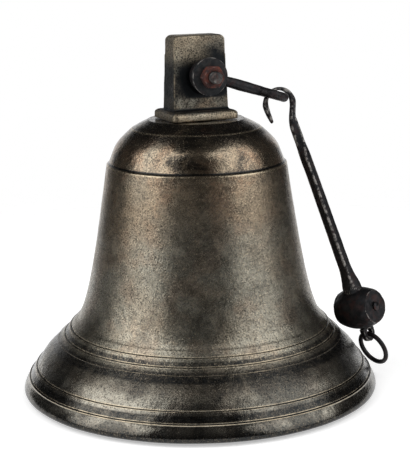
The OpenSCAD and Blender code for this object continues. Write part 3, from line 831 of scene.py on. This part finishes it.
def shape_nut(name, place, height, flats, hole):
    """A nut with chamfered corners and a countersunk hole."""
    sizes = settings().bolt
    rings = hexagon_rings(flats, height, sizes.chamfer)
    sink = 0.0006
    for radius, z in ((hole + sink, height), (hole, height - sink), (hole, sink), (hole + sink, 0)):
        rings.append([(radius, turn, z) for turn in full_turn(HEXAGON_N)])
    bm = bmesh.new()
    skin(bm, [round_points(ring, place) for ring in rings], closed=True)
    ob = new_object(name, bm)
    wear_edges(ob, 0.0002)
    return ob


def wear_edges(ob, width):
    """Breaks an object's sharp edges with a narrow bevel and marks its wear."""
    bevel = ob.modifiers.new("edges", "BEVEL")
    bevel.width = width
    bevel.segments = 2
    bevel.limit_method = "ANGLE"
    bevel.angle_limit = math.radians(25)
    divide = ob.modifiers.new("points", "SUBSURF")
    divide.subdivision_type = "SIMPLE"
    divide.levels = 1
    apply_modifiers(ob)
    mark_wear(ob, 0.0004)


def shape_bolt(sizes):
    """The bolt with its chamfered head and the thread at its end."""
    place, long = bolt_place("pivot_bolt")
    turns = full_turn(BOLT_N)
    radius = sizes.shank_d / 2
    bm = bmesh.new()
    head = hexagon_rings(sizes.across_flats, sizes.head_h, sizes.chamfer)
    skin(bm, [round_points(ring, place) for ring in head])
    start = long - sizes.thread_l
    rings = [[(radius, turn, z) for turn in turns] for z in (sizes.head_h - 0.0004, start)]
    z = start
    while z < long - 0.0002:
        z += sizes.pitch / 8
        end = max(0, z - (long - 0.0012))
        ring = []
        for turn in turns:
            phase = (z / sizes.pitch + turn / (2 * math.pi)) % 1
            depth = sizes.thread_depth * (1 - abs(2 * phase - 1)) * min(1, (z - start) / 0.002)
            ring.append((min(radius - depth, radius - end * 0.8), turn, min(z, long)))
        rings.append(ring)
    skin(bm, [round_points(ring, place) for ring in rings])
    ob = new_object("threaded_bolt", bm)
    mark_wear(ob, 0.0004)
    return ob


# Hammer and arm

# Height from which the hook's outer side runs straight down, and the height of its foot
LIMB_Z = -0.019
FOOT_Z = -0.028
# How far the opening's centre lies below the bearing, in degrees from the horizontal
BEARS_AT = 32
# Lengths over which the bar turns from flat to square, and widens above the head
TWIST_L = 0.03
FLARE_L = 0.022
# Share of the bar, from the hook down, that is a little fuller on its inner side
FULLER_PART = 0.3
# Height of the bar's end above the head's centre, and how far above it the solid's foot is cut off
BAR_END = 0.012
BAR_LAP = 0.002
# How far the arm's rod reaches into the boss and into the eye's bar
ROD_IN_BOSS = 0.0015
ROD_IN_EYE = 0.0012


def hammer_place(sizes):
    """The hammer's own place, with its bearing as the origin and its shank along -Z."""
    tail = RING_TOP - BEARING
    down = -math.sqrt(tail.x ** 2 + tail.z ** 2 - sizes.shank_x ** 2)
    lean = math.atan2(tail.z, tail.x) - math.atan2(down, sizes.shank_x)
    sway = math.atan(tail.y / down)
    turned = Matrix.Rotation(-lean, 4, "Y") @ Matrix.Rotation(-sway, 4, "X")
    return Matrix.Translation(BEARING) @ turned


def loft(bm, sections, place):
    """Joins sections, each a centre, a side, its half width, a front, its half thickness and a squareness."""
    rings = []
    for centre, side, half, front, thick, power in sections:
        ring = []
        for t in full_turn(FORGED_N):
            c, d = math.cos(t), math.sin(t)
            ring.append(place @ (centre + side * half * math.copysign(abs(c) ** (2 / power), c)
                                 + front * thick * math.copysign(abs(d) ** (2 / power), d)))
        rings.append(ring)
    skin(bm, rings)


def hook_sides(sizes, bar_r):
    """Matching points down the hook's outer and inner side in its plane, from the tail's tip to the foot."""
    opening_r, bend_r = sizes.hook_hole_d / 2, sizes.hook_d / 2
    opening = arc((0, 0), opening_r - bar_r - sizes.hook_gap, 0, 180 + BEARS_AT, 1)[0]
    bend = (opening[0] + 0.0005, opening[1] - sizes.hook_wear)
    tip = (bend[0] - bend_r + 0.0033, -sizes.hook_tail_l)
    half = sizes.shank_top_w / 2
    foot_out, foot_in = (sizes.shank_x + half, FOOT_Z), (sizes.shank_x - half - 0.001, FOOT_Z)
    limb = (foot_out[0], LIMB_Z)
    tail_out = arc(bend, bend_r, 0, 165, 1)[0]
    bend_out = arc(bend, bend_r, 0, -5, 1)[0]
    bend_in = arc(opening, opening_r, 0, -12, 1)[0]
    left = (opening[0] - opening_r, opening[1])
    outer = [tip] + curve(tip, (-1.8, 3.1), (-0.3, -5.3), tail_out, 10)
    inner = [tip] + curve(tip, (0.2, 4.6), (-0.4, -5), left, 10)
    outer += arc(bend, bend_r, 165, -5, 24)
    inner += arc(opening, opening_r, 180, -12, 24)
    outer += curve(bend_out, (-0.3, -3.2), (0.8, 5), limb, 6)
    outer += [(limb[0], limb[1] - 0.0045), foot_out]
    inner += curve(bend_in, (-1.1, -5.8), (0.6, 9), foot_in, 8)
    return outer, inner


def hook_sections(sizes, bar_r):
    """The hook's flat sections, fuller than its sides near the tip, and on the outer one up to the bend."""
    sections = []
    outer, inner = hook_sides(sizes, bar_r)
    for k, (o, i) in enumerate(zip(outer[1:], inner[1:])):
        side = Vector((o[0] - i[0], 0, o[1] - i[1]))
        spread = 0.0007 * min(1, max(0, (30 - k) / 12))
        both = 0.0006 * max(0, 1 - k / 12)
        centre = Vector(((o[0] + i[0]) / 2, 0, (o[1] + i[1]) / 2)) + side.normalized() * spread / 2
        half = (side.length + spread) / 2 + both
        thick = min(sizes.hook_t / 2 + MELT, half * 1.5)
        sections.append((centre, side.normalized(), half, Vector((0, 1, 0)), thick, 3))
    return sections


def bar_sections(sizes, low, head_top, n=60):
    """The bar's sections. It turns square below the hook and flares above the head."""
    sections = []
    turn = -sizes.head_turn
    for k in range(1, n + 1):
        z = FOOT_Z + (low - FOOT_Z) * k / n
        twist = min(1, (FOOT_Z - z) / TWIST_L)
        twist = twist * twist * (3 - 2 * twist)
        t = (FOOT_Z - z) / (FOOT_Z - head_top)
        flare = max(0, 1 - max(0, z - head_top) / FLARE_L) ** 2
        half = (sizes.shank_top_w + (sizes.shank_foot_w - sizes.shank_top_w) * t) / 2
        fuller = 0.001 * max(0, 1 - t / FULLER_PART)
        half += fuller / 2 + (sizes.collar_d / 2 - half) * flare
        thick = sizes.hook_t / 2 + MELT + (half - sizes.hook_t / 2 - MELT) * twist
        side = Vector((math.cos(twist * turn), math.sin(twist * turn), 0))
        front = Vector((-math.sin(twist * turn), math.cos(twist * turn), 0))
        centre = Vector((sizes.shank_x - fuller / 2, 0, z))
        sections.append((centre, side, half, front, thick, 3 + 2 * twist - 3 * flare))
    return sections


def shape_shank(sizes, bar_r):
    """The forged hook and bar, joined to the foot of the solid, which ends in the tail."""
    place = hammer_place(sizes)
    hang = sizes.tail_hole_d / 2 - sizes.wire_d / 2 - sizes.ring_gap
    head_z = (place.inverted() @ RING_TOP).z + hang + sizes.tail_hole_l
    low, head_top = head_z + BAR_END, head_z + sizes.head_d / 2
    bm = solid("hammer_shank")
    cut = place @ Vector((0, 0, low + BAR_LAP))
    normal = (place.to_3x3() @ UP).normalized()
    whole = bm.verts[:] + bm.edges[:] + bm.faces[:]
    bmesh.ops.bisect_plane(bm, geom=whole, plane_co=cut, plane_no=normal, clear_outer=True)
    bmesh.ops.holes_fill(bm, edges=[e for e in bm.edges if e.is_boundary])
    loft(bm, hook_sections(sizes, bar_r) + bar_sections(sizes, low, head_top), place)
    ob = new_object("forged_shank", bm)
    fuse(ob, 0.00035, 2)
    return ob


def rod_sections(sizes, start, end, bar_r, n=24):
    """The rod's round sections, with a small flare at the boss and a wider one at the eye."""
    sections = []
    for k in range(n + 1):
        t = k / n
        flare = 0.0012 * max(0, 1 - t / 0.16) ** 2
        spread = 0.0022 * max(0, (t - 0.8) / 0.2) ** 2
        swell = 0.0004 * math.sin(math.pi * t)
        radius = sizes.rod_d / 2 + swell + (bar_r + MELT - sizes.rod_d / 2) * t + flare
        centre = Vector((start + (end - start) * t, 0, 0))
        sections.append((centre, Vector((0, 1, 0)), radius + spread, UP, radius, 2.1))
    return sections


def shape_arm(sizes):
    """The arm's boss, rod and eye, forged in one."""
    slope = math.atan2(PIVOT.z - BEARING.z, BEARING.x - PIVOT.x)
    reach = math.hypot(PIVOT.z - BEARING.z, BEARING.x - PIVOT.x)
    place = Matrix.Translation(PIVOT) @ Matrix.Rotation(slope, 4, "Y")
    bar_r = sizes.eye_bar_d / 2
    eye_r = sizes.eye_hole_d / 2 + bar_r
    hole = settings().bolt.shank_d / 2 + settings().bolt.gap
    boss_r, half = sizes.boss_d / 2, sizes.boss_t / 2
    bm = bmesh.new()
    outline = rounded([(hole, -half), (boss_r, -half), (boss_r, half), (hole, half)], sizes.boss_rim, n=6)
    lathe(bm, outline, BOSS_N, place @ Matrix.Rotation(math.pi / 2, 4, "X"))
    ring = [(eye_r + bar_r * math.cos(t), bar_r * math.sin(t)) for t in full_turn(BAR_N)]
    lathe(bm, ring, BOSS_N, place @ Matrix.Translation((reach - eye_r, 0, 0)))
    loft(bm, rod_sections(sizes, boss_r - ROD_IN_BOSS, reach - 2 * eye_r + ROD_IN_EYE, bar_r), place)
    ob = new_object("forged_arm", bm)
    fuse(ob, 0.0004, 8)
    return ob


# Operators

# Distance of the lamps from the bell's axis, and the place that they face
LAMP_R = 1.1
LAMP_AIM = Vector((0, 0, 0.14))
# The floor's lighter tone, its glow where it is seen, and the shares of its radius over which it melts away
FLOOR_LIGHT = (0.88, 0.88, 0.88)
FLOOR_GLOW = 0.4
FLOOR_MELT = (0.2, 0.45)
# How far the mirrored backdrop reaches to the sides and up, as the cosine and the height of a direction
BACKDROP_ACROSS = (0.7, 0.98)
BACKDROP_UP = (0.4, 0.1)


class BELL_OT_stage(bpy.types.Operator):
    """Set the camera, the two soft lamps, the room and the pale floor"""
    bl_idname = "bell.stage"
    bl_label = "Stage"

    def execute(self, context):
        s = settings().stage
        scene = context.scene
        camera = bpy.data.objects.new("camera", bpy.data.cameras.new("camera"))
        camera.data.lens = s.lens
        camera.data.sensor_width = 36
        camera.data.clip_start = 0.05
        camera.data.clip_end = 20
        turn = Matrix.Rotation(-s.heading, 4, "Z") @ Matrix.Rotation(math.pi / 2 - s.tilt, 4, "X")
        camera.matrix_world = Matrix.Translation(s.camera_at) @ turn @ Matrix.Rotation(s.roll, 4, "Z")
        scene.collection.objects.link(camera)
        scene.camera = camera
        scene.view_settings.view_transform = "Standard"
        facing = math.atan2(s.camera_at[0], -s.camera_at[1])
        for name, side, power in (("lamp_left", -1, s.left_w), ("lamp_right", 1, s.right_w)):
            lamp = bpy.data.lights.new(name, "AREA")
            lamp.shape = "RECTANGLE"
            lamp.size, lamp.size_y = s.lamp_size
            lamp.energy = power
            light = bpy.data.objects.new(name, lamp)
            a = facing + side * s.lamp_side
            light.location = Vector((math.sin(a) * LAMP_R, -math.cos(a) * LAMP_R, s.lamp_up))
            light.rotation_euler = (light.location - LAMP_AIM).to_track_quat("Z", "Y").to_euler()
            scene.collection.objects.link(light)
        self.floor(s)
        self.room(s, facing)
        return {"FINISHED"}

    def floor(self, s):
        """A disc that melts into the background at its rim. Its shadow stays, and from below it is clear."""
        bm = bmesh.new()
        bmesh.ops.create_circle(bm, cap_ends=True, segments=96, radius=s.floor_r)
        ob = new_object("floor", bm)
        b = MaterialBoard("pale_floor")
        path = b.add("ShaderNodeLightPath").outputs
        seen = b.most(path["Is Camera Ray"], path["Is Glossy Ray"], path["Is Transmission Ray"])
        tone = b.mix(b.ramp(b.noise(0.25, 2), 0.3, 0.7), s.floor, FLOOR_LIGHT)
        for key, value in (("Base Color", tone), ("Roughness", 0.9), ("Specular IOR Level", 0.1),
                           ("Emission Color", (1, 1, 1)), ("Emission Strength", b.times(seen, FLOOR_GLOW))):
            b.put(b.shader.inputs[key], value)
        rim = b.ramp(b.vector("LENGTH", b.place), *[share * s.floor_r for share in FLOOR_MELT])
        behind = b.add("ShaderNodeNewGeometry").outputs["Backfacing"]
        clear = b.add("ShaderNodeBsdfTransparent").outputs[0]
        melt = b.fed("ShaderNodeMixShader", b.most(rim, behind), b.shader.outputs[0], clear)
        b.put(b.tree.nodes["Material Output"].inputs["Surface"], melt.outputs[0])
        ob.data.materials.append(b.material)

    def room(self, s, facing):
        """A world, white where the camera sees it and where metal mirrors the backdrop, and dim elsewhere."""
        world = bpy.data.worlds.new("room")
        bpy.context.scene.world = world
        world.use_nodes = True
        world.node_tree.nodes.clear()
        b = Board(world.node_tree)
        path = b.add("ShaderNodeLightPath").outputs
        way = b.add("ShaderNodeTexCoord").outputs["Generated"]
        across = b.vector("DOT_PRODUCT", way, (-math.sin(facing), math.cos(facing), 0))
        backdrop = b.times(b.ramp(across, *BACKDROP_ACROSS), b.ramp(b.xyz(way)["Z"], *BACKDROP_UP))
        mirrored = b.times(path["Is Glossy Ray"], b.ramp(backdrop, 0, 1, s.room, 1))
        lit = b.times(path["Is Diffuse Ray"], s.ambient)
        level = b.most(path["Is Camera Ray"], path["Is Transmission Ray"], mirrored, lit)
        sky = b.add("ShaderNodeBackground", Color=(1, 1, 1), Strength=level)
        b.fed("ShaderNodeOutputWorld", sky.outputs[0])


class BELL_OT_casting(bpy.types.Operator):
    """Turn the bell and its lug in aged bronze"""
    bl_idname = "bell.casting"
    bl_label = "Bell and lug"

    def execute(self, context):
        dress(shape_bell(settings().bell), bronze_material(), "bell", "bronze", "bell_body")
        dress(shape_lug(), lug_material(), "bell", "bronze_lug", "crown_lug")
        return {"FINISHED"}


class BELL_OT_fittings(bpy.types.Operator):
    """Make the bolt, the nuts and the washers"""
    bl_idname = "bell.fittings"
    bl_label = "Bolt, nuts and washers"

    def execute(self, context):
        f = settings().finishes
        iron = iron_material("washer_iron", f.soot_and_shade, 0.12, 0.5, 0.4)
        rusty = iron_material("rusty_nut", f.rust, 0.8, 0.55, 0.3)
        steel = iron_material("bolt_steel", f.steel, 0.35, 0.5)
        sizes = settings().bolt
        bolt_hole, stud_hole = sizes.shank_d / 2 + sizes.gap, sizes.stud_d / 2 + sizes.gap
        for node, find_place, hole, seed in (("crown_washer", crown_place, stud_hole, 12),
                                             ("back_washer", bolt_place, bolt_hole, 11),
                                             ("front_washer", bolt_place, bolt_hole, 12)):
            low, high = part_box(node)
            washer = shape_washer(node + "_piece", *find_place(node), (high.x - low.x) / 2, hole, seed)
            dress(washer, iron, "bell", "iron", node)
        for node, find_place, flats, hole in (("crown_nut", crown_place, sizes.crown_flats, stud_hole),
                                              ("bolt_nut", bolt_place, sizes.across_flats, bolt_hole)):
            nut = shape_nut(node + "_piece", *find_place(node), flats, hole)
            dress(nut, rusty, "bell", "iron_nut", node)
        dress(shape_bolt(sizes), steel, "bell", "bolt_steel", "pivot_bolt")
        return {"FINISHED"}


class BELL_OT_arm(bpy.types.Operator):
    """Forge the arm with its boss and its eye"""
    bl_idname = "bell.arm"
    bl_label = "Arm"

    def execute(self, context):
        ob = shape_arm(settings().arm)
        weather(ob, ARM_GRAIN, 3, 0.0016)
        dress(ob, iron_material("forged_iron", settings().finishes.iron), "arm", "iron", "striker_arm")
        return {"FINISHED"}


class BELL_OT_hammer(bpy.types.Operator):
    """Forge the hammer's shank, its head and the rivet"""
    bl_idname = "bell.hammer"
    bl_label = "Hammer"

    def execute(self, context):
        f = settings().finishes
        shank = shape_shank(settings().hammer, settings().arm.eye_bar_d / 2)
        weather(shank, SHANK_GRAIN, 4, 0.0035)
        dress(shank, iron_material("shank_iron", f.iron), "hammer", "iron", "hammer_shank")
        head = new_object("cast_head", solid("hammer_head"))
        fuse(head, 0.0005, 4)
        weather(head, HEAD_GRAIN, 5, 0.0016)
        dress(head, iron_material("head_iron", f.iron, 0.25), "hammer", "iron_head", "hammer_head")
        rivet = new_object("rivet_piece", solid("head_rivet"))
        dress(rivet, iron_material("rivet_steel", f.iron, 0.3), "hammer", "bolt_steel", "head_rivet")
        return {"FINISHED"}


class BELL_OT_ring(bpy.types.Operator):
    """Bend the pull ring"""
    bl_idname = "bell.ring"
    bl_label = "Pull ring"

    def execute(self, context):
        ob = new_object("ring_piece", solid("pull_ring"))
        dress(ob, iron_material("ring_iron", settings().finishes.iron), "ring", "iron", "pull_ring")
        return {"FINISHED"}


class BELL_PT_panel(bpy.types.Panel):
    """The bell's tools and settings"""
    bl_idname = "BELL_PT_panel"
    bl_label = "Hammer bell"
    bl_space_type = "VIEW_3D"
    bl_region_type = "UI"
    bl_category = "Bell"

    def draw(self, context):
        for operator in OPERATORS:
            self.layout.operator(operator.bl_idname)
        for group in ("bell", "bolt", "arm", "hammer", "finishes", "stage"):
            section = self.layout.box()
            section.label(text=group.capitalize())
            values = getattr(context.scene.hammer_bell, group)
            for name in values.__annotations__:
                section.prop(values, name)


OPERATORS = (BELL_OT_stage, BELL_OT_casting, BELL_OT_fittings, BELL_OT_arm, BELL_OT_hammer, BELL_OT_ring)
GROUPS = (BellSizes, BoltSizes, ArmSizes, HammerSizes, Finishes, StageSettings, BellSettings)


def register():
    """Registers the settings, the operators and the panel."""
    for item in (*GROUPS, *OPERATORS, BELL_PT_panel):
        bpy.utils.register_class(item)
    bpy.types.Scene.hammer_bell = PointerProperty(type=BellSettings)


def unregister():
    """Takes them away again."""
    del bpy.types.Scene.hammer_bell
    for item in reversed((*GROUPS, *OPERATORS, BELL_PT_panel)):
        bpy.utils.unregister_class(item)


def main():
    """Builds every piece around the frame."""
    register()
    bpy.ops.bell.stage()
    bpy.ops.bell.casting()
    bpy.ops.bell.fittings()
    bpy.ops.bell.arm()
    bpy.ops.bell.hammer()
    bpy.ops.bell.ring()


if __name__ == "__main__":
    main()
